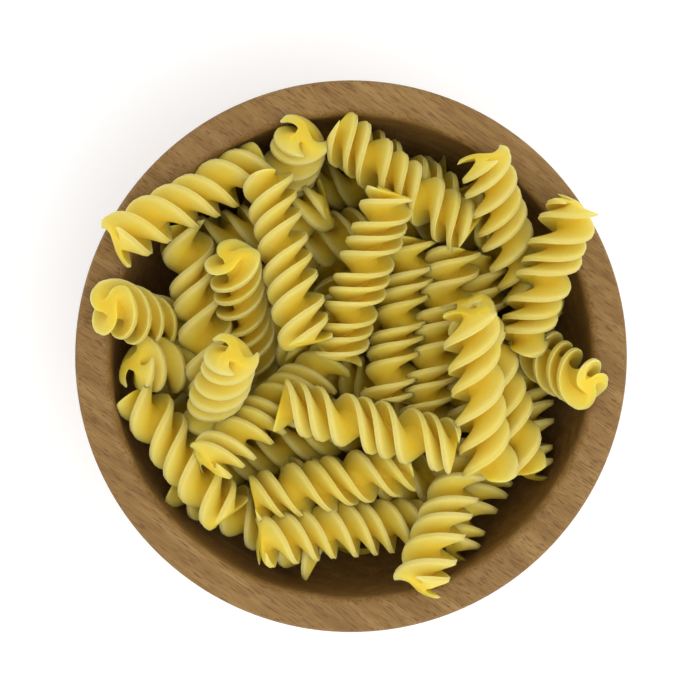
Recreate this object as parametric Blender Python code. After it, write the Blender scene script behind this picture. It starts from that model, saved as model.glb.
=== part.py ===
"""A small turned wooden bowl heaped with short spiral pasta (fusilli).

Metres, +Z up.  The origin is the middle of the bowl's flat foot, and the bowl stands on z = 0.
The bowl is one turned solid.  The pasta is one solid out to its uneven outline: its underside
follows the inside of the bowl, and its top is a bed of pasta with the spirals of the upper
layers laid on it, some of them leaning up on the rim.
"""

import math

import bmesh
import bpy
import numpy as np

# ---- driving dimensions ----------------------------------------------------------------------
SEGMENTS = 64                  # steps round the bowl and round the heap

BOWL_RADIUS = 0.060            # outside, at the rim
BOWL_HEIGHT = 0.060
FOOT_RADIUS = 0.029            # flat round foot that the bowl stands on
FOOT_HEIGHT = 0.0025           # straight edge of the foot, below the curve of the side
FLOOR_THICKNESS = 0.0085       # wood under the hollow
RIM_WIDTH = 0.0077             # from the outside of the rim to the wall of the hollow
RIM_OUTER_ROUND = 0.0012       # rounding of the rim's outer edge
RIM_INNER_ROUND = 0.0022       # rounding of the rim's inner edge
RIM_FALL = 0.0005              # how far the rim's top slopes down towards the hollow

SPIRAL_RADIUS = 0.0058         # a piece of pasta is about 11 to 12 mm across
SPIRAL_LENGTH = 0.037

BED_CENTRE = 0.044             # height of the hidden pasta in the middle of the bowl
BED_EDGE_FALL = 0.014          # how much lower the hidden pasta lies near the wall
BED_RADIUS = 0.047

GAP = 0.0004                   # clearance between the pasta and the wood
EDGE_THICKNESS = 0.0014        # how far the heap stands above the wood where it thins out
CUT_DEPTH = 0.0025             # how far the uncut heap reaches into the wood
REACH = 0.0594                 # no pasta stands out past the bowl

CELL = 0.001                   # grid on which the pieces are laid
EVENING_PASSES = 1             # times the grid is evened out
TOP_RINGS = 24
UNDER_RINGS = 8

# ---- the upper pieces of the heap, one row each ----------------------------------------------
# Middle x, y, z in mm; heading in degrees from +X; tilt in degrees, the heading end being raised.
UPPER_PIECES = [
    # deep ones, seen between the others
    (-1, -33, 30, -90, 48), (-12, -20, 46, 22, 6), (4, -30, 44, -4, -12), (17, 39, 48, -33, 0),
    (36, 21, 45, -65, -8), (42, -9, 43, -92, 12), (30, -30, 43, -115, 20), (-14, -36, 42, -8, 6),
    (-39, -16, 44, -62, -12), (-23, 28, 48, 15, 6), (-1, 29, 45, 16, -3), (3, 39, 38, 3, 6),
    (-2, -5, 41, -32, 8), (-20, 13, 42, -59, 10), (30, 12, 44, -110, 0), (27, 2, 50, -97, 0),
    # round the wall, some with an end up on the rim
    (-34, 10, 53, -83, -3), (-37, -5, 44, 163, 46), (-37, -20, 55, -53, 6), (-23, -35, 49, -22, 0),
    (19, -36, 57, -111, 26), (-2, -38, 55, 183, 10), (-43, 7, 53, -14, -52), (-36, 34, 61, -151, 20),
    (-14, 39, 47, 62, 58), (33, 26, 56, 110, 30), (11, 38, 59, 142, 6), (42, 18, 62, 70, 21),
    (42, 4, 53, 138, -46), (33, -6, 59, 104, 4),
    # on top
    (20, 5, 54, -101, 0), (11, 8, 55, -99, 0), (-24, 9, 52, -80, -50), (-30, -9, 59, 62, 54),
    (-18, -12, 57, -138, 25), (-4, -28, 58, 194, 0), (4, -15, 64, -13, 1), (3, 18, 62, -109, -4),
    (27, -8, 67, 97, 15), (-14, 21, 64, -76, 9),
]


def clear_scene():
    for thing in list(bpy.data.objects):
        bpy.data.objects.remove(thing, do_unlink=True)


def principled(name, colour, roughness):
    material = bpy.data.materials.new(name)
    material.use_nodes = True
    shader = material.node_tree.nodes["Principled BSDF"]
    shader.inputs["Base Color"].default_value = (*colour, 1.0)
    shader.inputs["Roughness"].default_value = roughness
    shader.inputs["Metallic"].default_value = 0.0
    return material


def add_object(name, mesh_data, material):
    mesh_data.materials.append(material)
    mesh_data.shade_smooth()
    mesh_data.set_sharp_from_angle(angle=math.radians(40))
    thing = bpy.data.objects.new(name, mesh_data)
    bpy.context.scene.collection.objects.link(thing)
    return thing


# ---- the bowl ----------------------------------------------------------------------------------
def arc(centre, radius, start, end, steps):
    """Points (r, z) on an arc about centre; the angles are in degrees from outwards."""
    turn = np.radians(np.linspace(start, end, steps))
    return np.column_stack((centre[0] + radius * np.cos(turn), centre[1] + radius * np.sin(turn)))


def outer_side(steps):
    """Quarter ellipse (r, z) from the top of the foot out and up to the full radius."""
    turn = np.radians(np.linspace(8.0, 90.0, steps))
    rise = BOWL_HEIGHT - RIM_OUTER_ROUND - FOOT_HEIGHT
    return np.column_stack((FOOT_RADIUS + (BOWL_RADIUS - FOOT_RADIUS) * np.sin(turn),
                            FOOT_HEIGHT + rise * (1.0 - np.cos(turn))))


def hollow_side(steps, gap=0.0):
    """Quarter ellipse (r, z) from the rim's inner edge down to the middle of the floor.

    With a gap, the same curve drawn that much further inside the hollow, or into the wood.
    """
    turn = np.radians(np.linspace(90.0, 0.0, steps))
    radius = BOWL_RADIUS - RIM_WIDTH - gap
    floor = FLOOR_THICKNESS + gap
    top = BOWL_HEIGHT - RIM_FALL - RIM_INNER_ROUND
    return np.column_stack((radius * np.sin(turn), floor + (top - floor) * (1.0 - np.cos(turn))))


def rim_inner_edge(steps, gap=0.0):
    """Quarter round (r, z) from the rim's top over into the hollow, a gap away from the wood."""
    centre = (BOWL_RADIUS - RIM_WIDTH + RIM_INNER_ROUND, BOWL_HEIGHT - RIM_FALL - RIM_INNER_ROUND)
    return arc(centre, RIM_INNER_ROUND + gap, 90.0, 180.0, steps)


def bowl_profile(gap=0.0):
    """Half section of the bowl, from the middle of the foot round to the middle of the floor.

    With a gap, the rim and the hollow are drawn that much proud of the wood.
    """
    foot = np.array([[0.0, 0.0], [FOOT_RADIUS, 0.0]])
    rim_outer_edge = arc((BOWL_RADIUS - RIM_OUTER_ROUND, BOWL_HEIGHT - RIM_OUTER_ROUND),
                         RIM_OUTER_ROUND + gap, 0.0, 90.0, 4)
    return np.vstack((foot, outer_side(10)[:-1], rim_outer_edge,
                      rim_inner_edge(4, gap)[:-1], hollow_side(12, gap)))


def turned_mesh(name, profile):
    """Spin a half section (r, z) about Z into one closed mesh."""
    shape = bmesh.new()
    points = [shape.verts.new((r, 0.0, z)) for r, z in profile]
    edges = [shape.edges.new(pair) for pair in zip(points, points[1:])]
    bmesh.ops.spin(shape, geom=points + edges, axis=(0, 0, 1), cent=(0, 0, 0),
                   angle=2.0 * math.pi, steps=SEGMENTS, use_duplicate=False)
    bmesh.ops.remove_doubles(shape, verts=shape.verts, dist=1e-6)
    bmesh.ops.recalc_face_normals(shape, faces=shape.faces)
    data = bpy.data.meshes.new(name)
    shape.to_mesh(data)
    shape.free()
    return data


# ---- the heap ----------------------------------------------------------------------------------
def wood_surface(gap):
    """Line (r, z) a gap above the wood, from the middle of the floor up and over the rim."""
    hollow = hollow_side(60, gap)[::-1]
    edge = rim_inner_edge(6, gap)[::-1]
    outermost = np.array([[REACH, BOWL_HEIGHT + gap]])
    return np.vstack((hollow, edge[1:], outermost))


def wood_height(radius):
    """Height at which pasta just clears the wood, at any radius."""
    line = wood_surface(GAP)
    return np.interp(radius, line[:, 0], line[:, 1])


def lay_pieces():
    """Height grid of the heap: a domed bed with the upper pieces on it.

    A piece is a round bar with rounded ends.  Each cell keeps the highest thing above it, and
    then each cell is evened out with its neighbours, because the twisted blades leave no sharp step.
    """
    half = int(round(BOWL_RADIUS / CELL)) + 2
    steps = np.arange(-half, half + 1) * CELL
    x, y = np.meshgrid(steps, steps, indexing="ij")
    radius = np.hypot(x, y)
    surface = BED_CENTRE - BED_EDGE_FALL * (radius / BED_RADIUS) ** 3
    for middle_x, middle_y, middle_z, heading, tilt in UPPER_PIECES:
        along = math.radians(heading)
        rise = math.radians(tilt)
        half_run = 0.5 * SPIRAL_LENGTH * math.cos(rise)
        dx = x - middle_x * 0.001
        dy = y - middle_y * 0.001
        run = dx * math.cos(along) + dy * math.sin(along)
        across = -dx * math.sin(along) + dy * math.cos(along)
        past_end = np.maximum(np.abs(run) - half_run + SPIRAL_RADIUS, 0.0)
        inside = SPIRAL_RADIUS ** 2 - across ** 2 - past_end ** 2
        bulge = np.sqrt(np.maximum(inside, 0.0)) / math.cos(rise)
        axis_height = middle_z * 0.001 + np.clip(run, -half_run, half_run) * math.tan(rise)
        surface = np.where(inside > 0.0, np.maximum(surface, axis_height + bulge), surface)
    for _ in range(EVENING_PASSES):
        for axis in (0, 1):
            surface = (np.roll(surface, 1, axis) + 2.0 * surface + np.roll(surface, -1, axis)) / 4.0
    return steps, surface


def sample(steps, surface, x, y):
    """Height of the grid at points x, y, straight-line between its cells."""
    u = (x - steps[0]) / CELL
    v = (y - steps[0]) / CELL
    i = np.clip(u.astype(int), 0, len(steps) - 2)
    j = np.clip(v.astype(int), 0, len(steps) - 2)
    fu = u - i
    fv = v - j
    low = surface[i, j] * (1 - fu) + surface[i + 1, j] * fu
    high = surface[i, j + 1] * (1 - fu) + surface[i + 1, j + 1] * fu
    return low * (1 - fv) + high * fv


def heap_mesh(name):
    """Uncut heap, closed, in rings: out along the underside, round the edge, back over the top.

    The edge at each bearing is the furthest radius where the pasta still stands proud of the
    wood, evened out with its neighbours.
    """
    steps, surface = lay_pieces()
    bearing = np.arange(SEGMENTS) * 2.0 * math.pi / SEGMENTS
    reach = np.linspace(0.0, REACH, 241)
    x = reach[None, :] * np.cos(bearing)[:, None]
    y = reach[None, :] * np.sin(bearing)[:, None]
    proud = sample(steps, surface, x, y) > wood_height(reach)[None, :] + EDGE_THICKNESS
    edge = np.array([reach[row.nonzero()[0].max()] for row in proud])
    edge = (np.roll(edge, 1) + 2.0 * edge + np.roll(edge, -1)) / 4.0

    # The uncut underside runs inside the wood, in rings evenly spaced along the section.
    line = wood_surface(-CUT_DEPTH)
    travel = np.concatenate(([0.0], np.cumsum(np.hypot(*np.diff(line, axis=0).T))))
    edge_travel = np.interp(edge, line[:, 0], travel)
    rings = []
    for share in np.linspace(0.0, 1.0, UNDER_RINGS + 1)[1:]:
        radius = np.interp(edge_travel * share, travel, line[:, 0])
        height = np.interp(edge_travel * share, travel, line[:, 1])
        rings.append((radius, height))
    for share in np.linspace(1.0, 0.0, TOP_RINGS + 1)[:-1]:
        radius = edge * share
        height = sample(steps, surface, radius * np.cos(bearing), radius * np.sin(bearing))
        rings.append((radius, np.maximum(height, wood_height(radius) + EDGE_THICKNESS)))

    shape = bmesh.new()
    bottom = shape.verts.new((0.0, 0.0, line[0, 1]))
    top_height = sample(steps, surface, np.zeros(1), np.zeros(1))[0]
    top = shape.verts.new((0.0, 0.0, top_height))
    grid = [[shape.verts.new((r * math.cos(a), r * math.sin(a), z))
             for r, z, a in zip(radius, height, bearing)] for radius, height in rings]
    for k in range(SEGMENTS):
        n = (k + 1) % SEGMENTS
        shape.faces.new((bottom, grid[0][n], grid[0][k]))
        shape.faces.new((top, grid[-1][k], grid[-1][n]))
        for inner, outer in zip(grid, grid[1:]):
            shape.faces.new((inner[k], inner[n], outer[n], outer[k]))
    bmesh.ops.triangulate(shape, faces=shape.faces)
    bmesh.ops.recalc_face_normals(shape, faces=shape.faces)
    data = bpy.data.meshes.new(name)
    shape.to_mesh(data)
    shape.free()
    return data


def main():
    clear_scene()
    wood = principled("light_brown_wood", (0.31, 0.18, 0.065), 0.55)
    pasta = principled("dry_pasta", (0.58, 0.42, 0.12), 0.6)
    add_object("bowl", turned_mesh("bowl", bowl_profile()), wood)
    heap = add_object("pasta_heap", heap_mesh("pasta_heap"), pasta)
    clearance = add_object("bowl_clearance", turned_mesh("bowl_clearance", bowl_profile(GAP)), wood)
    clearance.display_type = "WIRE"
    clearance.hide_render = True
    cut = heap.modifiers.new("clear_of_the_wood", "BOOLEAN")
    cut.operation = "DIFFERENCE"
    cut.object = clearance


main()
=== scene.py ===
"""Looks of the small wooden bowl heaped with spiral pasta (fusilli).

The bowl is turned again on the CAD bowl's sizes, more finely, and gets its wood.  The CAD heap
is replaced by separate spirals of pasta laid one by one, over a plain core deep in the bowl.
"""
import math

import bpy
import numpy as np
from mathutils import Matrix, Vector


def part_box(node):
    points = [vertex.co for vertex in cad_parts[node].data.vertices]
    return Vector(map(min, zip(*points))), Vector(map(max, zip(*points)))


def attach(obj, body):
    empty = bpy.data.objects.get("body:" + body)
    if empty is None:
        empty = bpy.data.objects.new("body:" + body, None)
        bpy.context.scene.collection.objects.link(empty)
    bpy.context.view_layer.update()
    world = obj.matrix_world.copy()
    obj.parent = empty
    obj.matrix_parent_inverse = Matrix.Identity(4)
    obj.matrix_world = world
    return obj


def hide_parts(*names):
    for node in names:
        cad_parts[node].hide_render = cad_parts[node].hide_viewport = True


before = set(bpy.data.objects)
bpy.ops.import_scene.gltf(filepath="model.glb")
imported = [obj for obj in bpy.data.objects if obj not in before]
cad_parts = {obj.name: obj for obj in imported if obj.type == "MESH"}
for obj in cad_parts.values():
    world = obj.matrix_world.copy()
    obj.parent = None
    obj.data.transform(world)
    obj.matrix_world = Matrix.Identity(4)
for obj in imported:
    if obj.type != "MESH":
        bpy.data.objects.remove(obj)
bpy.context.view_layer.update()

MM = 0.001

# ---- sizes, from the frame --------------------------------------------------------------------
BOWL_LOW, BOWL_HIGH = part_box("bowl")
BOWL_RADIUS = BOWL_HIGH[0]
BOWL_HEIGHT = BOWL_HIGH[2]

# ---- the bowl's section, as in the CAD -----------------------------------------------------------
FOOT_RADIUS = 29.0 * MM
FOOT_HEIGHT = 2.5 * MM
FLOOR_THICKNESS = 8.5 * MM
RIM_WIDTH = 7.7 * MM
RIM_OUTER_ROUND = 1.2 * MM
RIM_INNER_ROUND = 2.2 * MM
RIM_FALL = 0.5 * MM
BOWL_STEPS = 192

# ---- the spirals -----------------------------------------------------------------------------
BLADES = 3
SPIRAL_RADIUS = 6.0 * MM       # to the edge of a blade
CORE_RADIUS = 2.1 * MM         # solid middle that the blades stand on
BLADE_ROOT = 2.6 * MM          # thickness of a blade where it leaves the core
BLADE_EDGE = 3.4 * MM          # and at its blunt edge, both square to the axis
BLADE_SWEEP = math.radians(45) # how far a blade's curve leads its edge round
EDGE_ROUND = 0.7 * MM          # rounding of the corners of that edge
BLADE_STEPS = 6                # points along one side of a blade
BLADE_CURVE = 1.3              # above 1, a blade bends more towards its edge
UNEVEN_BLADES = (0.0, -26.0, 6.0)  # degrees that each blade stands off an even third of a turn
RINGS_PER_TURN = 24
END_ROUND = 0.25 * MM          # rounding of the cut ends

# Pieces of pasta: middle x, y, z, heading, tilt, length, pitch and crest, in mm and degrees.
# The heading is the way the axis points, seen from above, anticlockwise from +X, and the tilt
# raises the end it points to.  The pitch is the length of one full turn.  The crest is where along
# the axis, from the middle, the first blade's edge stands out to the left of the heading.
DEEP = [                       # seen between the others
    (-1, -33, 30, -90, 48, 36, 14, 0),
    (-12, -20, 46, 22, 6, 38, 14, 0),
    (4, -30, 44, -4, -12, 38, 14, 2),
    (17, 39, 48, -33, 0, 38, 14, 0),
    (36, 21, 45, -65, -8, 36, 14, 0),
    (42, -9, 43, -92, 12, 36, 14, 0),
    (30, -30, 43, -115, 20, 36, 14, 0),
    (-14, -36, 42, -8, 6, 36, 14, 0),
    (-39, -16, 44, -62, -12, 36, 14, 0),
    (-23, 28, 48, 15, 6, 38, 14, 0),
    (-1, 29, 45, 16, -3, 38, 14, 0),
    (3, 39, 38, 3, 6, 36, 14, 0),
    (-2, -5, 41, -32, 8, 38, 14, 0),
    (-20, 13, 42, -59, 10, 38, 14, 0),
    (30, 12, 44, -110, 0, 38, 14, 0),
    (27, 2, 50, -97, 0, 38, 14, 0),
]
ROUND_WALL = [                 # some with an end up on the rim
    (-34, 10, 53, -83, -3, 36, 17.6, 9.5),
    (-37, -5, 44, 163, 46, 36, 14, 0),
    (-37, -20, 55, -53, 6, 34, 18.0, -6.3),
    (-23, -35, 49, -22, 0, 36, 14, 0),
    (20, -34, 57, -111, 26, 35, 15, -1.7),
    (-2, -38, 55, 183, 10, 37, 13.7, 6.4),
    (-43, 7, 54, -14, -44, 34, 14.5, 0),
    (-36, 34, 61, -151, 20, 38, 17.6, -3.9),
    (-14, 39, 47, 62, 58, 36, 14, 0),
    (33, 26, 56, 110, 30, 38, 13.4, 1.7),
    (11, 38, 59, 142, 6, 37, 13.6, -3.5),
    (41.5, 16, 61, 70, 20, 34, 13.2, 1.5),
    (42, 4, 53, 138, -46, 36, 13, 0),
    (33, -6, 59, 104, 4, 40, 18, 8.3),
]
ON_TOP = [
    (20, 5, 54, -101, 0, 38, 13.4, 7.5),
    (11, 8, 55, -99, 0, 36, 12.6, 2.2),
    (-24, 9, 54, -80, -50, 36, 14, 0),
    (-30, -9, 59, 62, 54, 38, 15, 0),
    (-18, -12, 57, -138, 25, 38, 12.4, 0.6),
    (-4, -28, 58, 194, 0, 35, 13.9, -3.5),
    (4, -15, 64, -13, 1, 39, 14.7, -2.0),
    (3, 18, 62, -109, -4, 38, 11.6, -0.7),
    (27, -8, 67, 97, 19, 37, 18.3, 5.8),
    (-14, 21, 64, -76, 9, 38, 13.8, 0.3),
]


def make_object(name, corners, faces, material, smooth_angle=50.0):
    """Put computed corners and faces into a mesh, with its place in the mesh itself."""
    data = bpy.data.meshes.new(name)
    data.from_pydata(corners.tolist(), [], faces)
    data.validate()
    data.materials.append(material)
    data.shade_smooth()
    data.set_sharp_from_angle(angle=math.radians(smooth_angle))
    thing = bpy.data.objects.new(name, data)
    bpy.context.scene.collection.objects.link(thing)
    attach(thing, "root")
    return thing


# ---- the bowl ----------------------------------------------------------------------------------
def arc(centre, radius, start, end, steps):
    """Points (r, z) on an arc about centre, from start to end degrees."""
    turn = np.radians(np.linspace(start, end, steps))
    return np.column_stack((centre[0] + radius * np.cos(turn), centre[1] + radius * np.sin(turn)))


def quarter(turn, inner, outer, low, high):
    """Points (r, z) of a quarter ellipse, which leaves (inner, low) level and ends upright."""
    return np.column_stack((inner + (outer - inner) * np.sin(turn),
                            low + (high - low) * (1.0 - np.cos(turn))))


def hollow_height(radius):
    """Height of the wood of the hollow at a radius, on its quarter ellipse."""
    share = np.clip(radius / (BOWL_RADIUS - RIM_WIDTH), 0.0, 1.0)
    top = BOWL_HEIGHT - RIM_FALL - RIM_INNER_ROUND
    return FLOOR_THICKNESS + (top - FLOOR_THICKNESS) * (1.0 - np.sqrt(1.0 - share ** 2))


def bowl_section():
    """Half section (r, z): foot, outer side, rim, hollow, down to the middle of the floor."""
    foot = np.array([[0.0, 0.0], [FOOT_RADIUS - 0.5 * MM, 0.0], [FOOT_RADIUS, 0.5 * MM]])
    side = quarter(np.radians(np.linspace(8.0, 90.0, 30)), FOOT_RADIUS, BOWL_RADIUS,
                   FOOT_HEIGHT, BOWL_HEIGHT - RIM_OUTER_ROUND)
    outer_edge = arc((BOWL_RADIUS - RIM_OUTER_ROUND, BOWL_HEIGHT - RIM_OUTER_ROUND),
                     RIM_OUTER_ROUND, 0.0, 90.0, 8)
    inner_edge = arc((BOWL_RADIUS - RIM_WIDTH + RIM_INNER_ROUND,
                      BOWL_HEIGHT - RIM_FALL - RIM_INNER_ROUND), RIM_INNER_ROUND, 90.0, 180.0, 10)
    hollow = quarter(np.radians(np.linspace(90.0, 0.0, 36)), 0.0, BOWL_RADIUS - RIM_WIDTH,
                     FLOOR_THICKNESS, BOWL_HEIGHT - RIM_FALL - RIM_INNER_ROUND)
    return np.vstack((foot, side[:-1], outer_edge, inner_edge[:-1], hollow))


def turned(section, steps):
    """Carry a half section round Z.  Point (r, z) at angle a goes to (r cos a, r sin a, z).

    The section starts and ends on the axis, where one corner closes each pole.
    """
    angle = np.arange(steps) * 2.0 * math.pi / steps
    body = section[1:-1]
    ring_x = body[:, 0, None] * np.cos(angle)
    ring_y = body[:, 0, None] * np.sin(angle)
    ring_z = np.broadcast_to(body[:, 1, None], ring_x.shape)
    corners = np.stack((ring_x, ring_y, ring_z), axis=-1).reshape(-1, 3)
    corners = np.vstack((corners, [[0.0, 0.0, section[0, 1]], [0.0, 0.0, section[-1, 1]]]))
    start, end = len(corners) - 2, len(corners) - 1
    k = np.arange(steps)
    n = (k + 1) % steps
    row = np.arange(len(body) - 1)[:, None] * steps
    quads = np.stack((row + k, row + n, row + steps + n, row + steps + k), axis=-1)
    last = (len(body) - 1) * steps
    faces = quads.reshape(-1, 4).tolist()
    faces += np.stack((np.full(steps, start), n, k), axis=-1).tolist()
    faces += np.stack((np.full(steps, end), last + k, last + n), axis=-1).tolist()
    return corners, faces


# ---- one spiral of pasta -------------------------------------------------------------------------
def star_section(shape, inset):
    """Outline of the pasta across its axis: three curved blades on a core, as (x, y) corners.

    At radius r a blade's middle lies at angle sweep * share ** BLADE_CURVE, where share is 0 at
    the core and 1 at the edge, and its sides lie half its thickness to either side of that.  The edge
    follows the full radius between two rounded corners.  All is drawn in by the inset.
    """
    share = np.linspace(0.0, 1.0, BLADE_STEPS)
    corner = np.radians([0.0, 30.0, 60.0, 90.0])
    outline = []
    for lean, reach in zip(shape["lean"], shape["reach"]):
        full = SPIRAL_RADIUS * shape["size"] * reach - inset
        side_end = full - EDGE_ROUND
        radius = CORE_RADIUS + (side_end - CORE_RADIUS) * share
        half = 0.5 * (BLADE_ROOT + (BLADE_EDGE - BLADE_ROOT) * share) - inset
        edge_radius = side_end + EDGE_ROUND * np.sin(corner[1:])
        edge_half = half[-1] - EDGE_ROUND * (1.0 - np.cos(corner[1:]))
        radius = np.concatenate((radius, edge_radius))
        half = np.concatenate((half, edge_half))
        way_out = np.clip((radius - CORE_RADIUS) / (full - CORE_RADIUS), 0, 1)
        middle = lean + BLADE_SWEEP * way_out ** BLADE_CURVE
        right = np.column_stack((radius, middle - half / radius))
        left = np.column_stack((radius, middle + half / radius))
        outline += [right, left[::-1]]
    outline = np.vstack(outline)
    radius, angle = outline.T
    return np.column_stack((radius * np.cos(angle), radius * np.sin(angle)))


def spiral(place, seed):
    """One piece of pasta: the star section carried along a slightly bent axis, turning as it goes.

    A point at distance s from the middle of the axis turns by 2 pi s / pitch, a right-handed
    screw.  Size, bend and turn wander a little from piece to piece.  Returns corners, faces and
    each corner's height on its blade, from 0 at the core to 1 at the edge.
    """
    middle, heading, tilt, length, pitch, crest = place
    draw = np.random.default_rng(seed)
    size = draw.uniform(0.96, 1.03)
    even = np.arange(BLADES) * 360.0 / BLADES
    uneven = draw.uniform(-12, 12, BLADES) + UNEVEN_BLADES
    uneven[0] = 0.0
    shape = {"size": size, "lean": np.radians(even + uneven),
             "reach": draw.uniform(0.95, 1.03, BLADES)}
    rings = int(round(RINGS_PER_TURN * length / pitch))
    run = np.linspace(-0.5, 0.5, rings) * length
    run = np.concatenate((run[:1], run[:1] + END_ROUND, run[1:-1], run[-1:] - END_ROUND, run[-1:]))
    waver = 0.12 * np.sin(run / (9.0 * MM) + draw.uniform(0, 6.28))
    screw = (run - crest) * 2.0 * math.pi / pitch - BLADE_SWEEP + waver
    swell = 1.0 + 0.03 * np.sin(run / (6.0 * MM) + draw.uniform(0, 6.28))
    full = star_section(shape, 0.0)
    drawn_in = star_section(shape, END_ROUND)
    points = np.repeat(full[None], len(run), axis=0)
    points[0] = drawn_in
    points[-1] = drawn_in
    points = points * swell[:, None, None]
    cos_t = np.cos(screw)[:, None]
    sin_t = np.sin(screw)[:, None]
    across = points[..., 0] * cos_t - points[..., 1] * sin_t
    upward = points[..., 0] * sin_t + points[..., 1] * cos_t

    way = math.radians(heading)
    rise = math.radians(tilt)
    axis = np.array([math.cos(rise) * math.cos(way), math.cos(rise) * math.sin(way), math.sin(rise)])
    side = np.array([-math.sin(way), math.cos(way), 0.0])
    top = np.cross(axis, side)
    bend_way = draw.uniform(0, 2 * math.pi)
    bend = draw.uniform(0.0, 0.9) * MM * ((2.0 * run / length) ** 2 - 0.33)
    centre = (np.asarray(middle) + run[:, None] * axis
              + bend[:, None] * (math.cos(bend_way) * side + math.sin(bend_way) * top))
    corners = centre[:, None, :] + across[..., None] * side + upward[..., None] * top

    around = full.shape[0]
    k = np.arange(around)
    n = (k + 1) % around
    row = np.arange(len(run) - 1)[:, None] * around
    faces = np.stack((row + k, row + n, row + around + n, row + around + k), axis=-1)
    faces = faces.reshape(-1, 4).tolist()
    last = (len(run) - 1) * around
    faces.append(k[::-1].tolist())
    faces.append((last + k).tolist())
    height = np.hypot(full[:, 0], full[:, 1])
    height = (height - CORE_RADIUS) / (height.max() - CORE_RADIUS)
    height = np.broadcast_to(height, corners.shape[:2])
    return corners.reshape(-1, 3), faces, np.clip(height, 0, 1).reshape(-1)


# ---- laying the heap -----------------------------------------------------------------------------
TOUCHING = 9.2 * MM            # between the axes of pieces whose blades mesh
SHORT_OF_END = 3.0 * MM        # an axis counts from here, because a piece's ends taper off in contact
CLEAR_OF_WOOD = 5.6 * MM
EASING_STEPS = 160
SIDEWAYS = 0.45                # share of a push that goes sideways; the upright part is kept whole
MOST_AT_ONCE = 0.6 * MM        # furthest that an end moves in one step
OFF_WOOD_SHARE = 0.75          # share of the way back out of the wood made in one step
SAMPLES_ON_AXIS = 9


def wood_line():
    """Points (r, z) up the hollow and out over the rim, with the way from the wood at each."""
    turn = np.radians(np.linspace(0.0, 90.0, 60))
    line = quarter(turn, 0.0, BOWL_RADIUS - RIM_WIDTH, FLOOR_THICKNESS,
                   BOWL_HEIGHT - RIM_FALL - RIM_INNER_ROUND)
    over = arc((BOWL_RADIUS - RIM_WIDTH + RIM_INNER_ROUND,
                BOWL_HEIGHT - RIM_FALL - RIM_INNER_ROUND), RIM_INNER_ROUND, 180.0, 90.0, 8)
    line = np.vstack((line, over[1:], [[BOWL_RADIUS, BOWL_HEIGHT]]))
    along = np.gradient(line, axis=0)
    along /= np.linalg.norm(along, axis=1, keepdims=True)
    return line, np.column_stack((-along[:, 1], along[:, 0]))


def ease_apart(ends, freedom):
    """Move the ends of the axes, shape (pieces, 2, 3), until the pieces lie on each other.

    Each step takes every pair of axes at its nearest points.  A pair nearer than TOUCHING is
    pushed apart along the line between those points, the piece with more freedom further.  An
    axis nearer to the wood than CLEAR_OF_WOOD is pushed away from it.  Lengths are then restored.
    """
    line, off_wood = wood_line()
    share = np.linspace(0.0, 1.0, SAMPLES_ON_AXIS)
    count = len(ends)
    length = np.linalg.norm(ends[:, 1] - ends[:, 0], axis=1)
    first, second = np.triu_indices(count, 1)
    give = freedom[first] / (freedom[first] + freedom[second])
    for _ in range(EASING_STEPS):
        points = ends[:, 0, None] * (1.0 - share[:, None]) + ends[:, 1, None] * share[:, None]
        apart = points[first][:, :, None] - points[second][:, None]
        distance = np.linalg.norm(apart, axis=-1).reshape(len(first), -1)
        nearest = distance.argmin(axis=1)
        pair = np.arange(len(first))
        gap = distance[pair, nearest]
        way = apart.reshape(len(first), -1, 3)[pair, nearest] / np.maximum(gap, 1e-6)[:, None]
        way[:, :2] *= SIDEWAYS
        push = 0.5 * np.maximum(TOUCHING - gap, 0.0)[:, None] * way
        shift = np.zeros_like(ends)
        for side, amount, at in ((first, push * give[:, None], share[nearest // len(share)]),
                                 (second, -push * (1.0 - give)[:, None], share[nearest % len(share)])):
            np.add.at(shift[:, 0], side, amount * (1.0 - at)[:, None])
            np.add.at(shift[:, 1], side, amount * at[:, None])
        ends = ends + np.clip(shift, -MOST_AT_ONCE, MOST_AT_ONCE)

        points = ends[:, 0, None] * (1.0 - share[:, None]) + ends[:, 1, None] * share[:, None]
        radius = np.hypot(points[..., 0], points[..., 1])
        place = np.stack((radius, points[..., 2]), axis=-1)
        from_line = place[:, :, None] - line
        near = np.linalg.norm(from_line, axis=-1).argmin(axis=-1)
        away = off_wood[near]
        clear = (np.take_along_axis(from_line, near[..., None, None], 2)[:, :, 0] * away).sum(-1)
        short = np.maximum(CLEAR_OF_WOOD - clear, 0.0)
        outward = points[..., :2] / np.maximum(radius, 1e-6)[..., None]
        move = np.concatenate((outward * away[..., :1], away[..., 1:]), axis=-1) * short[..., None]
        weight = np.stack((1.0 - share, share))
        worst = short.argmax(axis=1)
        deepest = move[np.arange(count), worst]
        for end in (0, 1):
            ends[:, end] += OFF_WOOD_SHARE * deepest * weight[end][worst][:, None]
        middle = ends.mean(axis=1)
        half = 0.5 * (ends[:, 1] - ends[:, 0])
        half *= (0.5 * length / np.linalg.norm(half, axis=1))[:, None]
        ends = np.stack((middle - half, middle + half), axis=1)
    return ends


def axis_ends(places):
    """Both ends of each axis, SHORT_OF_END in from the cut faces."""
    ends = []
    for middle, heading, tilt, length, _, _ in places:
        way, rise = math.radians(heading), math.radians(tilt)
        axis = np.array([math.cos(rise) * math.cos(way), math.cos(rise) * math.sin(way), math.sin(rise)])
        reach = axis * (0.5 * length - SHORT_OF_END)
        ends.append((middle - reach, middle + reach))
    return np.array(ends)


def settle(places, freedom):
    """Places after easing apart, each with its new middle, heading and tilt."""
    ends = ease_apart(axis_ends(places), np.asarray(freedom, float))
    settled = []
    for (start, end), (_, _, _, *own) in zip(ends, places):
        run = end - start
        heading = math.degrees(math.atan2(run[1], run[0]))
        tilt = math.degrees(math.atan2(run[2], math.hypot(run[0], run[1])))
        settled.append((0.5 * (start + end), heading, tilt, *own))
    return settled


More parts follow.
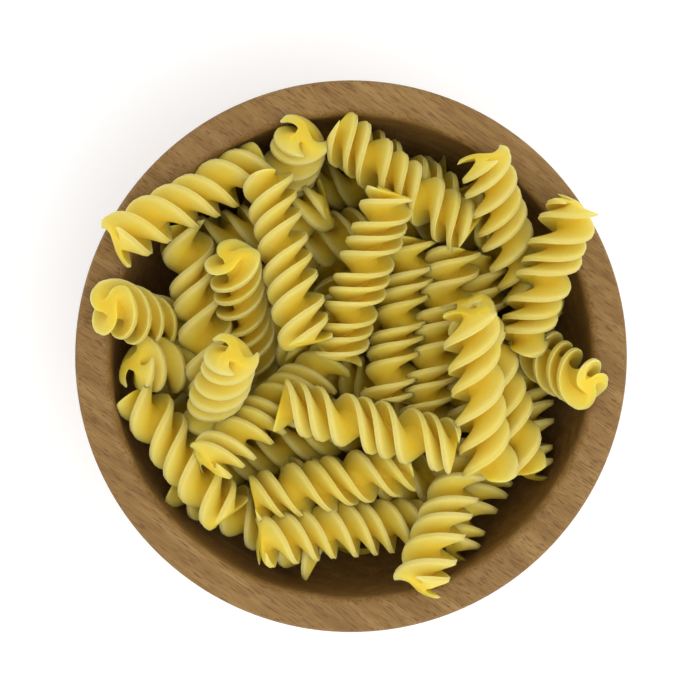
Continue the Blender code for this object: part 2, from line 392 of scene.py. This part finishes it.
def pile(name, places, material, first_seed):
    """Join separate spirals into one mesh, each keeping its own corners and its own tint."""
    all_corners, all_faces, heights, tints = [], [], [], []
    count = 0
    for number, place in enumerate(places):
        corners, faces, height = spiral(place, first_seed + number)
        all_corners.append(corners)
        all_faces += [[i + count for i in face] for face in faces]
        heights.append(height)
        tint = np.random.default_rng(900 + first_seed + number).uniform(0, 1)
        tints.append(np.full(len(corners), tint))
        count += len(corners)
    thing = make_object(name, np.vstack(all_corners), all_faces, material)
    for label, values in (("blade_height", heights), ("piece_tint", tints)):
        layer = thing.data.attributes.new(label, "FLOAT", "POINT")
        layer.data.foreach_set("value", np.concatenate(values).astype(np.float32))
    return thing


# ---- materials -------------------------------------------------------------------------------
def linear(red, green, blue):
    """Linear colour from 0 to 255 display values."""
    share = np.array([red, green, blue]) / 255.0
    flat = np.where(share <= 0.04045, share / 12.92, ((share + 0.055) / 1.055) ** 2.4)
    return (*flat.tolist(), 1.0)


GRAIN_TURN = math.radians(36)  # the wood's grain runs this far clockwise from +X


class Nodes:
    """Short calls for building one material or group."""

    def __init__(self, tree):
        self.tree = tree

    def add(self, kind, inputs=None, **settings):
        node = self.tree.nodes.new(kind)
        for name, value in settings.items():
            setattr(node, name, value)
        for socket, value in (inputs or {}).items():
            target = node.inputs[socket]
            if isinstance(value, bpy.types.NodeSocket):
                self.tree.links.new(value, target)
            else:
                target.default_value = value
        return node

    def math(self, operation, a, b=0.0, clamp=False):
        return self.add("ShaderNodeMath", {0: a, 1: b}, operation=operation, use_clamp=clamp).outputs[0]

    def mix(self, factor, a, b, blend="MIX"):
        node = self.add("ShaderNodeMix", {0: factor, 6: a, 7: b}, data_type="RGBA", blend_type=blend)
        return node.outputs[2]

    def ramp(self, value, stops):
        node = self.add("ShaderNodeValToRGB", {0: value})
        elements = node.color_ramp.elements
        elements[0].position, elements[0].color = stops[0]
        elements[1].position, elements[1].color = stops[-1]
        for position, colour in stops[1:-1]:
            elements.new(position).color = colour
        return node.outputs[0]


def new_material(name):
    """An empty material, with its node helper and its shader."""
    material = bpy.data.materials.new(name)
    material.use_nodes = True
    nodes = Nodes(material.node_tree)
    shader = material.node_tree.nodes["Principled BSDF"]
    return material, nodes, shader


def pasta_material():
    """Dry pasta: matt straw yellow, with painted shade making it deeper and more saturated near the core
    between the blades, and painted light making it paler along the blades' edges.
    """
    material, nodes, shader = new_material("dry_pasta")
    height = nodes.add("ShaderNodeAttribute", attribute_name="blade_height").outputs["Fac"]
    tint = nodes.add("ShaderNodeAttribute", attribute_name="piece_tint").outputs["Fac"]
    place = nodes.add("ShaderNodeTexCoord").outputs["Object"]
    fine = nodes.add("ShaderNodeTexNoise", {"Vector": place, "Scale": 1800.0, "Detail": 3.0}).outputs[0]
    broad = nodes.add("ShaderNodeTexNoise", {"Vector": place, "Scale": 160.0, "Detail": 2.0}).outputs[0]
    painted_light_and_tone = nodes.math("ADD", height, nodes.math("MULTIPLY", nodes.math("SUBTRACT", broad, 0.5), 0.35))
    # Painted shade and light: the ramp runs from deeper, more saturated yellow at the core, where the
    # blades shade each other, to paler at the blade edges; the broad noise adds random tone.
    base = nodes.ramp(painted_light_and_tone, [(0.0, linear(224, 192, 44)), (0.4, linear(220, 194, 58)),
                              (0.8, linear(210, 192, 84)), (1.0, linear(208, 193, 112))])
    tinted = nodes.mix(nodes.math("MULTIPLY", tint, 0.25), base, linear(212, 184, 52))
    speckle = nodes.math("MULTIPLY", nodes.math("SUBTRACT", fine, 0.5), 0.4)
    colour = nodes.mix(nodes.math("ABSOLUTE", speckle), tinted, linear(232, 218, 160))
    nodes.tree.links.new(colour, shader.inputs["Base Color"])
    shader.inputs["Roughness"].default_value = 0.6
    shader.inputs["Specular IOR Level"].default_value = 0.25
    shader.inputs["Subsurface Weight"].default_value = 1.0
    shader.inputs["Subsurface Radius"].default_value = (1.0, 0.92, 0.5)
    shader.inputs["Subsurface Scale"].default_value = 3.0 * MM
    bump = nodes.add("ShaderNodeBump", {"Height": fine, "Strength": 0.25, "Distance": 0.1 * MM})
    nodes.tree.links.new(bump.outputs[0], shader.inputs["Normal"])
    return material


def wood_material():
    """Light brown wood with its grain running one way through the block the bowl was turned from."""
    material, nodes, shader = new_material("light_brown_wood")
    place = nodes.add("ShaderNodeTexCoord").outputs["Object"]
    grain = nodes.add("ShaderNodeMapping", {"Vector": place,
                                            "Rotation": (0, 0, GRAIN_TURN)}).outputs[0]

    def along_grain(stretch, scale, detail):
        longer = nodes.add("ShaderNodeMapping", {"Vector": grain, "Scale": (1.0 / stretch, 1.0, 1.0)})
        return nodes.add("ShaderNodeTexNoise", {"Vector": longer.outputs[0], "Scale": scale,
                                                "Detail": detail}).outputs[0]

    broad = along_grain(6.0, 55.0, 2.0)
    bands = along_grain(14.0, 420.0, 3.0)
    lines = along_grain(22.0, 3400.0, 1.0)
    pore = along_grain(12.0, 3600.0, 0.0)
    base = nodes.ramp(bands, [(0.28, linear(126, 94, 48)), (0.5, linear(144, 111, 60)),
                              (0.72, linear(160, 128, 76))])
    base = nodes.mix(nodes.math("MULTIPLY", nodes.math("SUBTRACT", broad, 0.4), 1.2, clamp=True),
                     base, linear(122, 86, 44))
    thread = nodes.ramp(lines, [(0.42, (0, 0, 0, 1)), (0.62, (1, 1, 1, 1))])
    base = nodes.mix(nodes.math("MULTIPLY", thread, 0.35), base, linear(112, 78, 38))
    mask = nodes.ramp(pore, [(0.62, (0, 0, 0, 1)), (0.67, (1, 1, 1, 1))])
    colour = nodes.mix(nodes.math("MULTIPLY", mask, 0.6), base, linear(96, 58, 30))
    nodes.tree.links.new(colour, shader.inputs["Base Color"])
    shader.inputs["Roughness"].default_value = 0.6
    shader.inputs["Specular IOR Level"].default_value = 0.3
    bump = nodes.add("ShaderNodeBump", {"Height": nodes.math("SUBTRACT", lines, mask),
                                        "Strength": 0.3, "Distance": 0.1 * MM})
    nodes.tree.links.new(bump.outputs[0], shader.inputs["Normal"])
    return material


def floor_material():
    """Plain white ground, faintly lit from within so that the bowl's shadow on it stays soft."""
    material, nodes, shader = new_material("pale_floor")
    shader.inputs["Base Color"].default_value = (0.95, 0.95, 0.95, 1.0)
    shader.inputs["Emission Color"].default_value = (1.0, 1.0, 1.0, 1.0)
    shader.inputs["Emission Strength"].default_value = 0.14
    shader.inputs["Roughness"].default_value = 0.9
    return material


# ---- building ------------------------------------------------------------------------------------
wood = wood_material()
pasta = pasta_material()

corners, faces = turned(bowl_section(), BOWL_STEPS)
bowl = make_object("turned_bowl", corners, faces, wood, 40.0)
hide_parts("bowl")

HIDDEN = 16                    # pieces under those that show
HIDDEN_REACH = 34.0 * MM       # they lie within this radius
HIDDEN_HEIGHT = 34.0 * MM
HIDDEN_LENGTH = 36.0 * MM
HIDDEN_PITCH = 14.0 * MM
GOLDEN_ANGLE = 137.5           # degrees from one hidden piece to the next

CORE_TOP = 27.0 * MM           # of the plain core at the bottom of the bowl
CORE_REACH = 38.0 * MM
CORE_CLEARANCE = 0.5 * MM
CORE_POINTS = 12               # along its underside, and again over its top

# How freely a piece moves when the heap is eased apart.
LOWEST_FREEDOM = 0.5           # the first deep piece, which has to keep its place
DEEP_FREEDOM = 1.0
WALL_FREEDOM = 0.4
TOP_FREEDOM = 0.25
HIDDEN_FREEDOM = 3.0


def laid_places(rows):
    """The rows of a list above in metres."""
    return [(np.array((x, y, z)) * MM, heading, tilt, length * MM, pitch * MM, crest * MM)
            for x, y, z, heading, tilt, length, pitch, crest in rows]


def hidden_places():
    """Pieces strewn evenly on a flat spiral, each with a heading and a tilt of its own."""
    draw = np.random.default_rng(7)
    places = []
    for number in range(HIDDEN):
        bearing = math.radians(number * GOLDEN_ANGLE)
        radius = HIDDEN_REACH * math.sqrt((number + 0.5) / HIDDEN)
        middle = np.array((radius * math.cos(bearing), radius * math.sin(bearing), HIDDEN_HEIGHT))
        places.append((middle, draw.uniform(0, 360), draw.uniform(-15, 15),
                       HIDDEN_LENGTH, HIDDEN_PITCH, 0.0))
    return places


def core_section():
    """Half section (r, z) of the core: just above the wood, then a quarter ellipse over the top."""
    radius = np.linspace(0.0, CORE_REACH, CORE_POINTS)
    underside = np.column_stack((radius, hollow_height(radius) + CORE_CLEARANCE))
    turn = np.radians(np.linspace(90.0, 0.0, CORE_POINTS))
    dome = quarter(turn, 0.0, CORE_REACH, CORE_TOP, underside[-1, 1])
    return np.vstack((underside, dome[1:]))


visible = DEEP + ROUND_WALL + ON_TOP
freedom = ([LOWEST_FREEDOM] + [DEEP_FREEDOM] * (len(DEEP) - 1) + [WALL_FREEDOM] * len(ROUND_WALL)
           + [TOP_FREEDOM] * len(ON_TOP) + [HIDDEN_FREEDOM] * HIDDEN)
places = settle(laid_places(visible) + hidden_places(), freedom)
first_wall = len(DEEP)
first_top = first_wall + len(ROUND_WALL)
underneath = pile("pasta_underneath", places[len(visible):], pasta, 400)
lower = pile("pasta_lower", places[:first_wall], pasta, 100)
wall = pile("pasta_round_wall", places[first_wall:first_top], pasta, 200)
upper = pile("pasta_upper", places[first_top:len(visible)], pasta, 300)

corners, faces = turned(core_section(), 64)
core = make_object("hidden_core", corners, faces, pasta)
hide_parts("pasta_heap")
for piece in (underneath, lower, wall, upper):
    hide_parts("pasta_heap")

# ---- floor, lights, camera -------------------------------------------------------------------------
bpy.ops.mesh.primitive_plane_add(size=3.0, location=(0, 0, 0))
floor = bpy.context.object
floor.name = "floor"
floor.data.materials.append(floor_material())

world = bpy.data.worlds.new("soft_room")
bpy.context.scene.world = world
world.use_nodes = True
world.node_tree.nodes["Background"].inputs[0].default_value = (1, 1, 1, 1)
world.node_tree.nodes["Background"].inputs[1].default_value = 1.0


def soft_light(name, place, target, size, power):
    lamp = bpy.data.lights.new(name, "AREA")
    lamp.shape = "DISK"
    lamp.size = size
    lamp.energy = power
    thing = bpy.data.objects.new(name, lamp)
    bpy.context.scene.collection.objects.link(thing)
    thing.location = place
    aim = Vector(target) - Vector(place)
    thing.rotation_euler = aim.to_track_quat("-Z", "Y").to_euler()
    return thing


soft_light("overhead", (0.32, -0.32, 0.8), (0, 0, 0.05), 0.8, 2.6)
bpy.context.scene.view_settings.view_transform = "Standard"

CAMERA_ABOVE_RIM = 0.45
camera_data = bpy.data.cameras.new("camera")
camera_data.sensor_width = 36.0
BOWL_SHARE_OF_VIEW = 0.79043
VIEW_SHIFT_X = -0.00143
VIEW_SHIFT_Y = 0.00886
camera_data.lens = 36.0 * BOWL_SHARE_OF_VIEW * CAMERA_ABOVE_RIM / (2 * BOWL_RADIUS)
camera_data.shift_x = VIEW_SHIFT_X
camera_data.shift_y = VIEW_SHIFT_Y
camera = bpy.data.objects.new("camera", camera_data)
bpy.context.scene.collection.objects.link(camera)
camera.location = (0, 0, BOWL_HEIGHT + CAMERA_ABOVE_RIM)
bpy.context.scene.camera = camera
